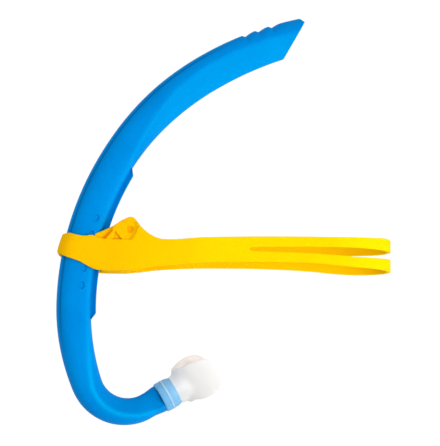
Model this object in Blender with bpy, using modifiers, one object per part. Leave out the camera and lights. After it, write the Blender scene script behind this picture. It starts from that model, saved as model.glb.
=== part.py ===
"""Swimmer's centre snorkel: a curved moulded tube, a head bracket that slides on the tube's rail, a split
head strap and a silicone mouthpiece.

Frame: +Z up, the swimmer faces -X, the head is at +X.  The origin is the middle of the forehead pad's rear
face, where it rests on the forehead.  Driving dimensions are in millimetres; meshes are made in metres.
"""
import math

import bmesh
import bpy
from mathutils import Matrix, Vector

MM = 0.001
GAP = 0.3                       # clearance between touching pieces

# ---- tube: centreline in the XZ plane, from the mouthpiece end to the top -------------------------------
SPIGOT_END = (46.4, -150.6)     # X and Z of the lower end
SPIGOT_TILT = 29.5              # the lower end points this far above +X, degrees
SPIGOT_LENGTH = 17.8            # how far the mouthpiece is pushed on
TUBE_RUNS = (                   # (radius, turn in degrees); radius 0 is a straight of that length
    (0.0, 35.8), (43.0, 99.1), (226.0, 21.6), (304.0, 35.2), (271.0, 22.1), (360.0, 22.0))
BEND_START, BEND_END = 35.8, 110.2
RAIL_ARC_START = 195.4          # length along the centreline where the 304 mm run starts
SLIDE_RADIUS = 304.0
SLIDE_CENTRE = (244.2, -68.2)   # X and Z of that run's centre, the height joint's axis

HALF_DEPTH = (                  # (length along the centreline, half depth fore and aft)
    (0, 13.9), (17.5, 13.9), (18.4, 14.6), (21, 14.4), (31, 13.2), (43, 13.6), (98, 15.7),
    (193, 18.15), (353, 18.2), (468, 19.5), (625, 17.6))
HALF_WIDTH = (
    (0, 13.9), (17.5, 13.9), (18.4, 14.6), (21, 14.4), (31, 13.0), (98, 12.4), (193, 12.3),
    (468, 12.3), (625, 11.6))
SQUARENESS = ((0, 2.0), (31, 2.0), (110, 2.4), (625, 2.4))     # exponent of the superellipse section
WALL = 2.1
SECTION_ANGLES = (0, 15, 30, 34, 48, 62, 76, 90, 105, 120, 135, 150, 165, 180)
BORE_STEPS = 20

SPINE_HEIGHT = 0.7              # raised strip down the front of the tube
SPINE_EDGE = (30.0, 34.0)       # section angles where its edge falls away
SPINE_FADE = ((125, 0), (175, 1), (470, 1), (545, 0))

TOOTH_PEAKS = (541.1, 555.2, 569.2)     # grip notches along the top of the front edge
TOOTH_DROP = 3.4                        # from a peak down to its notch
TOOTH_DEPTH = 2.3
TOOTH_RISE = 10.5

TOP_CUT = ((160.1, 199.9), (182.6, 239.6))      # low and high end of the slanted inlet face, X and Z
TIP_CHAMFER = ((182.6, 239.6), (178.7, 243.1))

DIMPLE_MIDDLE, DIMPLE_PITCH, DIMPLE_COUNT = 252.7, 18.6, 5
DIMPLE_OUT = -6.9               # behind the centreline
DIMPLE_SIZE = (2.75, 1.6, 4.25)         # half sizes: fore and aft, depth, along the tube

# ---- rail on the tube's rear, and the slider that holds it ----------------------------------------------
RAIL_SPAN = (178.0, 359.0)      # lengths along the centreline
RAIL_HEIGHT = 4.95
RAIL_CHAMFER = 8.0
RAIL_BASE, RAIL_WAIST, RAIL_FACE = 4.5, 6.2, 5.4        # half widths from the tube outwards
SLIDER_HALF_LENGTH = 20.0
SLIDER_PROFILE = (              # (outwards from the centreline, sideways), a C round the rail
    (-18.0, 5.1), (-18.0, 12.2), (-27.0, 12.2), (-27.0, -12.2), (-18.0, -12.2), (-18.0, -5.1),
    (-22.1, -6.75), (-23.55, -6.75), (-23.55, 6.75), (-22.1, 6.75))
NUB_SIZE = (2.1, 0.6, 3.5)
NUB_SIDE = 12.0

# ---- head bracket: collar round the tube, spacer and forehead pad ---------------------------------------
COLLAR_CLEARANCE = 0.6
COLLAR_THICKNESS = 2.2
COLLAR_END = 36.0               # X where the collar's arms become the strap
COLLAR_TOP = (                  # (X at the height of the tube's slide centre line, Z)
    (-71.2, 10.9), (-66.2, 13.2), (-48.5, 9.1), (-35.2, 13.3), (-26.9, 19.5), (-19, 22.5), (-13.5, 25.6),
    (-6, 28.5), (0, 30.5), (6.3, 25.2), (12.6, 17.4), (19, 12.0), (26, 8.3), (36, 6.3))
COLLAR_BOTTOM = (
    (-71.2, -6.0), (-69.5, -9.6), (-64.8, -11.3), (-54.9, -14.0), (-43.1, -20.5), (-29.3, -26.8),
    (-20, -29.3), (-6, -30.6), (3, -28.8), (21, -25.5), (31, -22.9), (36, -22.2))
ARM_SIDE = (                    # (X, inner half width) of the arms and of the strap behind them
    (-52, 12.9), (-38, 12.95), (-24, 13.1), (0, 14.7), (31, 17.2), (50, 19.8), (70, 23.0), (85, 25.2),
    (126, 28.0), (170, 31.8), (190, 33.2), (212, 34.0))
ARM_WINDOWS = (                 # openings through each arm above the strap line, corners as (X, Z)
    ((-19.5, 7.0), (-9.0, 7.0), (-9.5, 10.0), (-14.8, 16.0)),
    ((-4.2, 13.0), (1.5, 10.5), (4.8, 13.5), (2.2, 19.5), (-3.4, 19.8)))

PAD_REACH, PAD_HALF_WIDTH = 31.0, 15.0          # semi-axes of the pad's curve seen from above
PAD_THICKNESS = 1.7
PAD_TOP = ((0, 31.0), (6.3, 24.6), (12.6, 16.9), (19, 11.6), (26, 7.8), (31, 6.6))
PAD_BOTTOM = ((0, -30.0), (10, -27.4), (21, -25.0), (31, -22.6))

CORE_HALF_WIDTH = 9.5
CORE_WEB = 1.6                  # half thickness of the middle web
CORE_TOP = ((-18.6, 20.5), (-3.0, 27.5))
CORE_BACK = -2.0
CORE_POCKETS = (
    ((-17.5, 8.0), (-4.8, 8.0), (-4.8, 23.6), (-16.4, 18.4)),
    ((-21.5, -9.5), (-4.8, -9.5), (-4.8, 5.4), (-20.0, 5.4)),
    ((-25.0, -25.0), (-4.8, -25.0), (-4.8, -12.1), (-22.5, -12.1)))

# ---- strap ---------------------------------------------------------------------------------------------
STRAP_THICKNESS = 2.0
SLIT_ROOT = 126.0
SIDE_TOP = ((36, 6.3), (73, 7.6), (126, 8.2), (150, 8.0))
SIDE_BOTTOM = ((36, -22.2), (50, -20.2), (85, -18.5), (126, -18.9), (150, -18.9))
UPPER_TOP = ((126, 8.2), (178, 7.6), (226, 7.2), (262, 8.6), (272, 9.2))
UPPER_BOTTOM = ((126, -4.05), (272, -4.05))
LOWER_TOP = ((126, -6.7), (178, -8.0), (205, -9.5), (233, -11.5), (254, -12.0), (272, -11.7))
LOWER_BOTTOM = ((126, -18.9), (170, -19.0), (205, -21.1), (231, -23.4), (252, -24.1), (272, -24.4))
UPPER_HINGE, LOWER_HINGE = 2.0, -12.8           # Z of the two bands' flex axes, at X = SLIT_ROOT
KNUCKLE = 9.0                   # radius of the round joint line where a band flexes
LOOP_WIDEST = 212.0             # X where the loop is widest
LOOP_END = 58.0                 # from there to the inside of the rear bend

# ---- mouthpiece, in its own frame: x along the spigot from the sleeve's lip, z up, then rolled ----------
MOUTH_ROLL = 15.0               # it sits turned this far round the spigot
SLEEVE_PROFILE = (              # closed outline (x, radius)
    (0.0, 14.2), (0.0, 15.0), (1.2, 16.1), (7.8, 16.1), (8.4, 16.5), (9.0, 16.1), (13.8, 16.0),
    (16.6, 14.9), (18.6, 15.2), (22.0, 15.7), (25.0, 16.3), (28.6, 17.2), (28.6, 11.5), (18.1, 11.5),
    (18.1, 14.2))
SHIELD_START, SHIELD_DEPTH, SHIELD_HALF_WIDTH = 27.0, 39.0, 31.0
SHIELD_HALF_HEIGHT = 19.5
SHIELD_THICKNESS = 1.8
SHIELD_LAST_ANGLE = 88.6
MOUTH_HOLE = 13.4               # hole through the shield that the neck fills
TAB_X = (43.0, 57.0)            # bite tabs: a bridge in from each wing, then an upright plate
TAB_BRIDGE_HALF = 2.3
TAB_PLATE = ((40.0, 60.0), (14.6, 17.6), (-6.0, 6.0))

COLOURS = {                     # name: (red, green, blue), roughness
    "tube_blue": ((0.0, 0.24, 0.78), 0.38),
    "rail_blue": ((0.0, 0.17, 0.62), 0.42),
    "clear_white_silicone": ((0.86, 0.87, 0.88), 0.45),
    "bracket_yellow": ((0.99, 0.58, 0.0), 0.5),
    "strap_yellow": ((1.0, 0.70, 0.0), 0.5),
    "slider_white": ((0.75, 0.76, 0.78), 0.4),
}


# ---- small helpers -------------------------------------------------------------------------------------
def knot_slope(knots, i):
    """Slope of the smooth curve at knot i: no overshoot, and the end slopes are those of the end pieces."""
    def piece(k):
        return (knots[k + 1][1] - knots[k][1]) / (knots[k + 1][0] - knots[k][0])
    if i == 0:
        return piece(0)
    if i == len(knots) - 1:
        return piece(i - 1)
    before, after = piece(i - 1), piece(i)
    return 0.0 if before * after <= 0 else 2 * before * after / (before + after)


def along(knots, x):
    """Smooth curve through (x, value) knots, level past both ends."""
    if x <= knots[0][0]:
        return knots[0][1]
    if x >= knots[-1][0]:
        return knots[-1][1]
    i = max(k for k in range(len(knots) - 1) if knots[k][0] <= x)
    (x0, v0), (x1, v1) = knots[i], knots[i + 1]
    span, t = x1 - x0, (x - x0) / (x1 - x0)
    rise = knot_slope(knots, i) * span * t * (1 - t) ** 2 - knot_slope(knots, i + 1) * span * t * t * (1 - t)
    return v0 + (v1 - v0) * t * t * (3 - 2 * t) + rise


def steps(start, end, count):
    """count + 1 evenly spaced values from start to end."""
    return [start + (end - start) * k / count for k in range(count + 1)]


def material(name):
    """The named Principled material."""
    if name in bpy.data.materials:
        return bpy.data.materials[name]
    colour, roughness = COLOURS[name]
    made = bpy.data.materials.new(name)
    made.use_nodes = True
    shader = made.node_tree.nodes["Principled BSDF"]
    shader.inputs["Base Color"].default_value = (*colour, 1.0)
    shader.inputs["Roughness"].default_value = roughness
    shader.inputs["Metallic"].default_value = 0.0
    return made


def place(name, mesh, collection, colour=None):
    """A new object for a mesh; cutters carry no colour and stay out of renders."""
    mesh.name = name
    made = bpy.data.objects.new(name, mesh)
    collection.objects.link(made)
    if colour is None:
        made.hide_render = True
        made.display_type = "WIRE"
    else:
        mesh.materials.append(material(colour))
        mesh.shade_smooth()
        mesh.set_sharp_from_angle(angle=math.radians(35))
    return made


def grid_mesh(rows, closed=False, capped=False):
    """Mesh through rows of points in millimetres; closed joins each row's ends, capped fills the end rows."""
    bm = bmesh.new()
    made = [[bm.verts.new(Vector(p) * MM) for p in row] for row in rows]
    count = len(rows[0])
    for low, high in zip(made, made[1:]):
        for k in range(count if closed else count - 1):
            n = (k + 1) % count
            bm.faces.new((low[k], low[n], high[n], high[k]))
    if capped:
        bm.faces.new(list(reversed(made[0])))
        bm.faces.new(made[-1])
    mesh = bpy.data.meshes.new("grid")
    bm.to_mesh(mesh)
    bm.free()
    return mesh


def facing(mesh, outward):
    """Turns the faces of an open sheet so that its first face looks the given way."""
    bm = bmesh.new()
    bm.from_mesh(mesh)
    bmesh.ops.recalc_face_normals(bm, faces=bm.faces)
    bm.faces.ensure_lookup_table()
    if bm.faces[0].normal.dot(Vector(outward)) < 0:
        bmesh.ops.reverse_faces(bm, faces=bm.faces)
    bm.to_mesh(mesh)
    bm.free()
    return mesh


def closed_out(mesh):
    """Turns the faces of a closed mesh outwards."""
    bm = bmesh.new()
    bm.from_mesh(mesh)
    bmesh.ops.recalc_face_normals(bm, faces=bm.faces)
    bm.to_mesh(mesh)
    bm.free()
    return mesh


def prism(corners, side_from, side_to):
    """Prism with the given (X, Z) outline between two Y values."""
    rows = [[(x, side, z) for x, z in corners] for side in (side_from, side_to)]
    return closed_out(grid_mesh(rows, closed=True, capped=True))


def box_mesh(spans):
    """Box with the given spans in x, y and z."""
    bm = bmesh.new()
    size = [high - low for low, high in spans]
    middle = [(high + low) / 2 for low, high in spans]
    matrix = Matrix.Translation(Vector(middle) * MM) @ Matrix.Diagonal((*[v * MM for v in size], 1.0))
    bmesh.ops.create_cube(bm, size=1.0, matrix=matrix)
    mesh = bpy.data.meshes.new("box")
    bm.to_mesh(mesh)
    bm.free()
    return mesh


def joined(meshes):
    """One mesh holding several."""
    bm = bmesh.new()
    for mesh in meshes:
        bm.from_mesh(mesh)
        bpy.data.meshes.remove(mesh)
    mesh = bpy.data.meshes.new("joined")
    bm.to_mesh(mesh)
    bm.free()
    return mesh


def boolean(target, cutter, operation):
    """Exact Boolean of a cutter on its target."""
    modifier = target.modifiers.new(cutter.name, "BOOLEAN")
    modifier.operation = operation
    modifier.solver = "EXACT"
    modifier.object = cutter


def solidify(target, thickness):
    """Gives an open sheet its thickness on the side its faces look at."""
    modifier = target.modifiers.new("thickness", "SOLIDIFY")
    modifier.thickness = thickness * MM
    modifier.offset = 1.0
    modifier.use_even_offset = True


# ---- tube -----------------------------------------------------------------------------------------------
def tube_frame(length):
    """X, Z and heading of the tube's centreline at a length from its lower end."""
    x, z = SPIGOT_END
    heading = math.radians(180 + SPIGOT_TILT)
    for radius, amount in TUBE_RUNS:
        run = amount if radius == 0 else radius * math.radians(amount)
        step = min(length, run)
        if radius == 0:
            x += math.cos(heading) * step
            z += math.sin(heading) * step
        else:
            turned = heading - step / radius
            x += (math.sin(heading) - math.sin(turned)) * radius
            z -= (math.cos(heading) - math.cos(turned)) * radius
            heading = turned
        length -= step
        if length <= 0:
            break
    return x, z, heading


def tube_point(length, out, side):
    """Point at a length along the tube, out towards the front edge and to one side."""
    x, z, heading = tube_frame(length)
    return x - math.sin(heading) * out, side, z + math.cos(heading) * out


def power(value, exponent):
    """Signed power, for superellipses."""
    return math.copysign(abs(value) ** exponent, value)


def tooth_depth(length):
    """How far the front edge is cut back by the grip notches."""
    depth = 0.0
    for peak in TOOTH_PEAKS:
        fall = (length - peak) / TOOTH_DROP
        rise = (length - peak - TOOTH_DROP) / TOOTH_RISE
        if 0 <= fall <= 1:
            depth = TOOTH_DEPTH * fall * fall * (3 - 2 * fall)
        elif 0 < rise < 1:
            depth = TOOTH_DEPTH * (1 - math.sin(rise * math.pi / 2))
    return depth


def outer_section(length):
    """The tube's outline at a length: (out, side) pairs all the way round."""
    depth, width = along(HALF_DEPTH, length), along(HALF_WIDTH, length)
    exponent = 2 / along(SQUARENESS, length)
    spine = SPINE_HEIGHT * along(SPINE_FADE, length)
    outline = []
    for angle in SECTION_ANGLES:
        cosine, sine = math.cos(math.radians(angle)), math.sin(math.radians(angle))
        out = power(cosine, exponent) * (depth - spine if angle < 90 else depth)
        if angle <= SPINE_EDGE[0]:
            out += spine
        out -= tooth_depth(length) * max(0.0, min(1.0, (cosine - 0.4) / 0.3))
        outline.append((out, width * power(abs(sine) if angle < 180 else 0.0, exponent)))
    mirrored = [(out, -side) for out, side in reversed(outline[1:-1])]
    return outline + mirrored


def bore_section(length):
    """The tube's bore at a length."""
    depth, width = along(HALF_DEPTH, length) - WALL, along(HALF_WIDTH, length) - WALL
    exponent = 2 / along(SQUARENESS, length)
    angles = [2 * math.pi * k / BORE_STEPS for k in range(BORE_STEPS)]
    return [(depth * power(math.cos(a), exponent), width * power(math.sin(a), exponent)) for a in angles]


def outer_lengths():
    """Lengths along the centreline where the tube's outer sections stand."""
    lower = [0.0, 9.0, 17.5, 18.4, 21.0, 26.0, 31.0]
    bend = steps(BEND_START, BEND_END, 12)
    middle = steps(BEND_END, TOOTH_PEAKS[0] - 5, 30)[1:]
    teeth = [peak + d for peak in TOOTH_PEAKS for d in (0.0, 1.7, TOOTH_DROP, 5.2, 8.0)]
    return lower + bend + middle + teeth + [TOOTH_PEAKS[2] + TOOTH_DROP + TOOTH_RISE, 595.0, 609.0, 624.0]


def bore_lengths():
    """Lengths where the bore's sections stand."""
    return [0.0, 17.5, 26.0] + steps(BEND_START, BEND_END, 10) + steps(BEND_END, 624.0, 26)[1:]


def tube_mesh():
    """Tube with its bore, closed by a ring at each end."""
    bm = bmesh.new()
    outer = [[bm.verts.new(Vector(tube_point(s, *p)) * MM) for p in outer_section(s)]
             for s in outer_lengths()]
    bore = [[bm.verts.new(Vector(tube_point(s, *p)) * MM) for p in bore_section(s)]
            for s in bore_lengths()]
    for rows in (outer, bore):
        count = len(rows[0])
        for low, high in zip(rows, rows[1:]):
            for k in range(count):
                n = (k + 1) % count
                bm.faces.new((low[k], low[n], high[n], high[k]))
    for end in (0, -1):
        edges = [bm.edges.get((loop[end][k], loop[end][(k + 1) % len(loop[end])]))
                 for loop in (outer, bore) for k in range(len(loop[end]))]
        bmesh.ops.triangle_fill(bm, use_beauty=True, edges=edges)
    bmesh.ops.recalc_face_normals(bm, faces=bm.faces)
    mesh = bpy.data.meshes.new("tube")
    bm.to_mesh(mesh)
    bm.free()
    return mesh


def half_space(first, second, depth):
    """Slab on the outer side of the line from first to second, (X, Z) points; outer is to its right."""
    along_x, along_z = second[0] - first[0], second[1] - first[1]
    length = math.hypot(along_x, along_z)
    ux, uz = along_x / length, along_z / length
    nx, nz = uz, -ux
    corners = []
    for back, out in ((-1, 0), (1, 0), (1, 1), (-1, 1)):
        x = (first[0] if back < 0 else second[0]) + ux * back * depth + nx * out * depth
        z = (first[1] if back < 0 else second[1]) + uz * back * depth + nz * out * depth
        corners.append((x, z))
    return prism(corners, -40.0, 40.0)


def ellipsoid(middle, half_sizes, heading):
    """Ellipsoid whose half sizes run fore and aft, sideways and along the tube's heading."""
    bm = bmesh.new()
    turn = Matrix.Rotation(math.pi / 2 - heading, 4, "Y")
    matrix = Matrix.Translation(Vector(middle) * MM) @ turn
    bmesh.ops.create_uvsphere(bm, u_segments=14, v_segments=8, radius=1.0,
                              matrix=matrix @ Matrix.Diagonal((*[v * MM for v in half_sizes], 1.0)))
    mesh = bpy.data.meshes.new("ellipsoid")
    bm.to_mesh(mesh)
    bm.free()
    return mesh


def side_face(length, out):
    """How far the tube's side stands from its middle plane."""
    exponent = along(SQUARENESS, length)
    return along(HALF_WIDTH, length) * (1 - (abs(out) / along(HALF_DEPTH, length)) ** exponent) ** (1 / exponent)


def dimples():
    """Cutter for the rows of oval detent dimples on both sides."""
    made = []
    for k in range(DIMPLE_COUNT):
        length = DIMPLE_MIDDLE + (k - DIMPLE_COUNT // 2) * DIMPLE_PITCH
        heading = tube_frame(length)[2]
        for side in (-1, 1):
            stand = side_face(length, DIMPLE_OUT) + 0.5
            made.append(ellipsoid(tube_point(length, DIMPLE_OUT, side * stand), DIMPLE_SIZE, heading))
    return joined(made)


def make_tube(parts, cutters):
    """Tube body: the loft, cut off on the slant at the top, with its detent dimples."""
    tube = place("tube_body", tube_mesh(), parts, "tube_blue")
    boolean(tube, place("cut_inlet", half_space(*TOP_CUT, 45.0), cutters), "DIFFERENCE")
    chamfer = half_space(*TIP_CHAMFER, 8.0)
    boolean(tube, place("cut_tip", chamfer, cutters), "DIFFERENCE")
    boolean(tube, place("cut_dimples", dimples(), cutters), "DIFFERENCE")


def make_rail(parts):
    """Undercut rail along the tube's rear, chamfered at both ends."""
    start, end = RAIL_SPAN
    lengths = [start, start + RAIL_CHAMFER] + steps(start + 20, end - 20, 12)
    lengths += [end - RAIL_CHAMFER, end]
    rows = []
    for length in lengths:
        back = along(HALF_DEPTH, length)
        height = RAIL_HEIGHT * (0.14 if length in RAIL_SPAN else 1.0)
        profile = ((back - 0.35, RAIL_BASE), (back + height * 0.78, RAIL_WAIST if height == RAIL_HEIGHT
                                              else RAIL_BASE + 0.3),
                   (back + height, RAIL_FACE if height == RAIL_HEIGHT else RAIL_BASE))
        half = [(-out, side) for out, side in profile]
        ring = half + [(out, -side) for out, side in reversed(half)] + [(-back - GAP, 0.0)]
        rows.append([tube_point(length, *p) for p in ring])
    place("bracket_rail", closed_out(grid_mesh(rows, closed=True, capped=True)), parts, "rail_blue")


# ---- head bracket ---------------------------------------------------------------------------------------
def arc_x(out, z):
    """X at height z on the arc that runs parallel to the tube's slide stretch, out from its centreline."""
    return SLIDE_CENTRE[0] - math.sqrt((SLIDE_RADIUS + out) ** 2 - (z - SLIDE_CENTRE[1]) ** 2)


def arc_out(x):
    """The out value of the parallel arc that passes X at height zero."""
    return math.hypot(SLIDE_CENTRE[0] - x, SLIDE_CENTRE[1]) - SLIDE_RADIUS


def collar_path():
    """Inner line of one half of the collar from the front: (X at height zero, out, side)."""
    depth = along(HALF_DEPTH, DIMPLE_MIDDLE) + COLLAR_CLEARANCE
    width = along(HALF_WIDTH, DIMPLE_MIDDLE) + COLLAR_CLEARANCE
    exponent = 2 / along(SQUARENESS, DIMPLE_MIDDLE)
    path = []
    for angle in (a for a in SECTION_ANGLES if a <= 90):
        out = depth * power(math.cos(math.radians(angle)), exponent) if angle < 90 else 0.0
        path.append((arc_x(out, 0.0), out, width * power(math.sin(math.radians(angle)), exponent)))
    for x in steps(arc_x(-6.0, 0.0), COLLAR_END, 20):
        path.append((x, arc_out(x), along(ARM_SIDE, x)))
    return path


def collar_rows():
    """Rows of points up the collar's inner face, from one arm's end round the tube to the other's."""
    columns = []
    for x, out, side in collar_path():
        low, high = along(COLLAR_BOTTOM, x), along(COLLAR_TOP, x)
        upright = max(0.0, min(1.0, (x + 26.0) / 22.0))
        upright = upright * upright * (3 - 2 * upright)
        columns.append([(arc_x(out, z) * (1 - upright) + x * upright, side, z) for z in steps(low, high, 7)])
    mirrored = [[(x, -side, z) for x, side, z in column] for column in reversed(columns[1:])]
    return mirrored + columns


def make_collar(parts, cutters):
    """Collar that wraps the front of the tube and widens into two arms with a raised gusset each."""
    mesh = facing(grid_mesh(collar_rows()), (0, -1, 0))
    collar = place("tube_collar", mesh, parts, "bracket_yellow")
    solidify(collar, COLLAR_THICKNESS)
    windows = [prism(corners, *sides) for corners in ARM_WINDOWS for sides in ((-30.0, -5.0), (5.0, 30.0))]
    boolean(collar, place("cut_arm_windows", joined(windows), cutters), "DIFFERENCE")


def make_pad(parts):
    """Forehead pad: a sheet bent back into two wings, tallest in the middle."""
    rows = []
    for angle in steps(-84, 84, 28):
        x = PAD_REACH * (1 - math.cos(math.radians(angle)))
        side = PAD_HALF_WIDTH * math.sin(math.radians(angle))
        rows.append([(x, side, z) for z in steps(along(PAD_BOTTOM, x), 0.0, 4) +
                     steps(0.0, along(PAD_TOP, x), 4)[1:]])
    pad = place("forehead_pad", facing(grid_mesh(rows), (0, -1, 0)), parts, "bracket_yellow")
    solidify(pad, PAD_THICKNESS)


def make_spacer(parts, cutters):
    """Ribbed block that stands the pad off the slider."""
    front = [(arc_x(SLIDER_PROFILE[2][0] - GAP, z), z) for z in steps(-26.5, 20.5, 8)]
    corners = front + [CORE_TOP[1], (CORE_BACK, CORE_TOP[1][1] - 0.8), (CORE_BACK, -27.0)]
    core = place("spacer_block", prism(corners, -CORE_HALF_WIDTH, CORE_HALF_WIDTH), parts, "bracket_yellow")
    pockets = [prism(outline, *sides) for outline in CORE_POCKETS
               for sides in ((-20.0, -CORE_WEB), (CORE_WEB, 20.0))]
    boolean(core, place("cut_spacer_pockets", joined(pockets), cutters), "DIFFERENCE")


def make_slider(parts):
    """Slider that hooks round the rail, and the two nubs that drop into the dimples."""
    middle = (DIMPLE_MIDDLE - RAIL_ARC_START) / SLIDE_RADIUS
    rows = []
    for length in steps(-SLIDER_HALF_LENGTH, SLIDER_HALF_LENGTH, 6):
        rows.append([tube_point(DIMPLE_MIDDLE + length, *p) for p in SLIDER_PROFILE])
    place("rail_slider", closed_out(grid_mesh(rows, closed=True, capped=True)), parts, "slider_white")
    heading = tube_frame(DIMPLE_MIDDLE)[2]
    for name, side in (("detent_nub_right", -1), ("detent_nub_left", 1)):
        mesh = ellipsoid(tube_point(DIMPLE_MIDDLE, DIMPLE_OUT, side * NUB_SIDE), NUB_SIZE, heading)
        place(name, mesh, parts, "bracket_yellow")


# ---- strap ----------------------------------------------------------------------------------------------
def strap_end_cutter():
    """Cuts a side band to the slit and to the two round joint lines."""
    def knuckle(hinge, heights):
        return [(SLIT_ROOT + math.sqrt(KNUCKLE ** 2 - (z - hinge) ** 2), z) for z in heights]
    far = SLIT_ROOT + 40
    upper = knuckle(UPPER_HINGE, steps(UPPER_BOTTOM[0][1], UPPER_HINGE + 8, 8))
    lower = knuckle(LOWER_HINGE, steps(LOWER_HINGE - 8, LOWER_TOP[0][1], 8))
    root = [(SLIT_ROOT, LOWER_TOP[0][1]), (SLIT_ROOT - 0.9, (LOWER_TOP[0][1] + UPPER_BOTTOM[0][1]) / 2),
            (SLIT_ROOT, UPPER_BOTTOM[0][1])]
    corners = root + upper + [(upper[-1][0], 30.0), (far, 30.0), (far, -40.0), (lower[0][0], -40.0)] + lower
    return prism(corners, -60.0, 60.0)


def make_side_bands(parts, cutters):
    """Left and right side bands, from the collar's arms to the slit."""
    cutter = place("cut_strap_slit", strap_end_cutter(), cutters)
    for name, side in (("strap_side_right", -1), ("strap_side_left", 1)):
        rows = []
        for x in steps(COLLAR_END + GAP, SLIT_ROOT + KNUCKLE + 3, 14):
            heights = steps(along(SIDE_BOTTOM, x), along(SIDE_TOP, x), 4)
            rows.append([(x, side * along(ARM_SIDE, x), z) for z in heights])
        band = place(name, facing(grid_mesh(rows), (0, side, 0)), parts, "strap_yellow")
        solidify(band, STRAP_THICKNESS)
        boolean(band, cutter, "DIFFERENCE")


def loop_path():
    """Inner line of the strap loop from the slit to the middle of the rear bend: (X, side)."""
    straight = [(x, along(ARM_SIDE, x)) for x in steps(SLIT_ROOT, LOOP_WIDEST, 9)]
    widest = straight[-1][1]
    bend = []
    for angle in steps(84, 0, 14):
        x = LOOP_WIDEST + LOOP_END * math.cos(math.radians(angle))
        bend.append((x, widest * math.sin(math.radians(angle))))
    return straight + bend


def band_columns(top, bottom, hinge):
    """Columns of points up one rear band, from the left flex line round the rear to the right one."""
    half = []
    for k, (x, side) in enumerate(loop_path()):
        column = []
        for z in steps(along(bottom, x), along(top, x), 4):
            start = SLIT_ROOT + math.sqrt((KNUCKLE + GAP) ** 2 - min(70.0, (z - hinge) ** 2))
            here = start if k == 0 else max(x, start) if k > 1 else start + (x - SLIT_ROOT) * 0.3
            column.append((here, along(ARM_SIDE, here) if here < LOOP_WIDEST else side, z))
        half.append(column)
    mirrored = [[(x, -side, z) for x, side, z in column] for column in reversed(half[:-1])]
    return half + mirrored


def make_rear_bands(parts):
    """Upper and lower rear bands, each one loop round the back of the head."""
    for name, top, bottom, hinge in (
            ("strap_band_upper", UPPER_TOP, UPPER_BOTTOM, UPPER_HINGE),
            ("strap_band_lower", LOWER_TOP, LOWER_BOTTOM, LOWER_HINGE)):
        mesh = facing(grid_mesh(band_columns(top, bottom, hinge)), (0, 1, 0))
        band = place(name, mesh, parts, "strap_yellow")
        solidify(band, STRAP_THICKNESS)


# ---- mouthpiece -----------------------------------------------------------------------------------------
def shield_mesh():
    """Curved lip shield, an open sheet in the mouthpiece's own frame."""
    rows = []
    for angle in steps(-SHIELD_LAST_ANGLE, SHIELD_LAST_ANGLE, 26):
        x = SHIELD_START + SHIELD_DEPTH * (1 - math.cos(math.radians(angle)))
        side = SHIELD_HALF_WIDTH * math.sin(math.radians(angle))
        half = SHIELD_HALF_HEIGHT * (1 - abs(angle / 90) ** 5) ** 0.45
        rows.append([(x, side, z) for z in steps(-half, half, 8)])
    return facing(grid_mesh(rows), (0, -1, 0))


def shield_side(x):
    """Half width of the shield's inner face at x."""
    return SHIELD_HALF_WIDTH * math.sqrt(1 - (1 - (x - SHIELD_START) / SHIELD_DEPTH) ** 2)


def tab_bridge(side):
    """Bridge from the shield's wing in to the bite tab's plate."""
    wing = [(x, side * (shield_side(x) + 0.7)) for x in steps(TAB_X[1], TAB_X[0], 6)]
    corners = [(TAB_X[0], side * 16.0), (TAB_X[1], side * 16.0)] + wing
    rows = [[(x, y, z) for x, y in corners] for z in (-TAB_BRIDGE_HALF, TAB_BRIDGE_HALF)]
    return closed_out(grid_mesh(rows, closed=True, capped=True))


def make_mouthpiece(parts, cutters):
    """Silicone mouthpiece: sleeve and neck, lip shield and two bite tabs in one moulding."""
    x, _, z = tube_point(SPIGOT_LENGTH, 0.0, 0.0)
    angles = (math.radians(MOUTH_ROLL), -math.radians(SPIGOT_TILT), 0.0)
    mouthpiece = place("mouthpiece", shield_mesh(), parts, "clear_white_silicone")
    solidify(mouthpiece, SHIELD_THICKNESS)

    bm = bmesh.new()
    ring = [bm.verts.new((x * MM, 0.0, radius * MM)) for x, radius in SLEEVE_PROFILE]
    for k, vertex in enumerate(ring):
        bm.edges.new((vertex, ring[(k + 1) % len(ring)]))
    profile = bpy.data.meshes.new("sleeve")
    bm.to_mesh(profile)
    bm.free()
    sleeve = place("add_sleeve", profile, cutters)
    turn = sleeve.modifiers.new("turn", "SCREW")
    turn.axis = "X"
    turn.steps = turn.render_steps = 32
    turn.use_merge_vertices = True
    turn.merge_threshold = 0.00005
    turn.use_normal_calculate = True

    bm = bmesh.new()
    bmesh.ops.create_cone(bm, cap_ends=True, segments=32, radius1=MOUTH_HOLE * MM, radius2=MOUTH_HOLE * MM,
                          depth=20 * MM, matrix=Matrix.Translation((30 * MM, 0, 0)) @
                          Matrix.Rotation(math.pi / 2, 4, "Y"))
    hole_mesh = bpy.data.meshes.new("hole")
    bm.to_mesh(hole_mesh)
    bm.free()
    hole = place("cut_mouth_hole", hole_mesh, cutters)

    boolean(mouthpiece, hole, "DIFFERENCE")
    boolean(mouthpiece, sleeve, "UNION")
    added = [sleeve, hole]
    for label, side in (("right", -1), ("left", 1)):
        bridge = place(f"add_tab_bridge_{label}", tab_bridge(side), cutters)
        spans = (TAB_PLATE[0], tuple(sorted(side * v for v in TAB_PLATE[1])), TAB_PLATE[2])
        plate = place(f"add_tab_plate_{label}", box_mesh(spans), cutters)
        boolean(mouthpiece, bridge, "UNION")
        boolean(mouthpiece, plate, "UNION")
        added += [bridge, plate]
    for item in [mouthpiece] + added:
        item.location = (x * MM, 0.0, z * MM)
        item.rotation_euler = angles


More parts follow.
